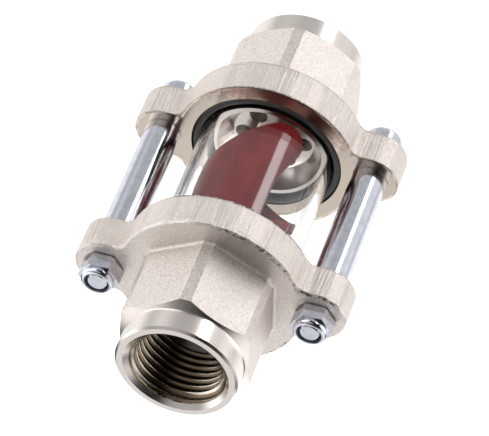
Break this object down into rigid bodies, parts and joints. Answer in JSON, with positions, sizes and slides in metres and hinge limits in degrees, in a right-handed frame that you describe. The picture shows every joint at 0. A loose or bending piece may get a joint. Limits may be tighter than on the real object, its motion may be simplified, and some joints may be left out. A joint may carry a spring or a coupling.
{
  "type": "impeller flow indicator",
  "caption": "In-line flow indicator: two flanged hexagon port bodies clamp a glass cylinder with tie bolts, and a twisted two-blade impeller turns inside it as liquid flows",
  "frame": {"origin": "centre of the lower port's mouth, in the plane of its end face", "axes": "+Z along the flow axis from the lower port to the upper port, +X through the right tie bolt, +Y across the hexagon's corners"},
  "size_m": [0.0598, 0.041, 0.096],
  "materials": {
    "nickel_casting": "nickel-plated brass, sand-cast grain outside, bright where turned",
    "sight_glass": "clear polished glass",
    "black_rubber": "matt black rubber",
    "bearing_bronze": "turned bearing bronze",
    "red_plastic": "dark red moulded plastic, matt",
    "shaft_steel": "ground stainless steel",
    "zinc_plated_steel": "bright zinc-plated steel",
    "nylon_insert": "dark nylon"
  },
  "bodies": {
    "root": {"left_lock_nut": "zinc_plated_steel", "left_nut_insert": "nylon_insert", "left_spacer": "zinc_plated_steel", "left_tie_bolt": "zinc_plated_steel", "lower_bearing": "bearing_bronze", "lower_body": "nickel_casting", "lower_glass_gasket": "black_rubber", "lower_o_ring": "black_rubber", "right_lock_nut": "zinc_plated_steel", "right_nut_insert": "nylon_insert", "right_spacer": "zinc_plated_steel", "right_tie_bolt": "zinc_plated_steel", "sight_glass": "sight_glass", "upper_bearing": "bearing_bronze", "upper_body": "nickel_casting", "upper_glass_gasket": "black_rubber", "upper_o_ring": "black_rubber"},
    "impeller": {"impeller": "red_plastic", "impeller_shaft": "shaft_steel"}
  },
  "joints": [
    {"name": "impeller_spin", "type": "hinge", "parent": "root", "child": "impeller", "pos_m": [0, 0, 0.048], "axis": [0, 0, 1], "continuous": true}
  ]
}
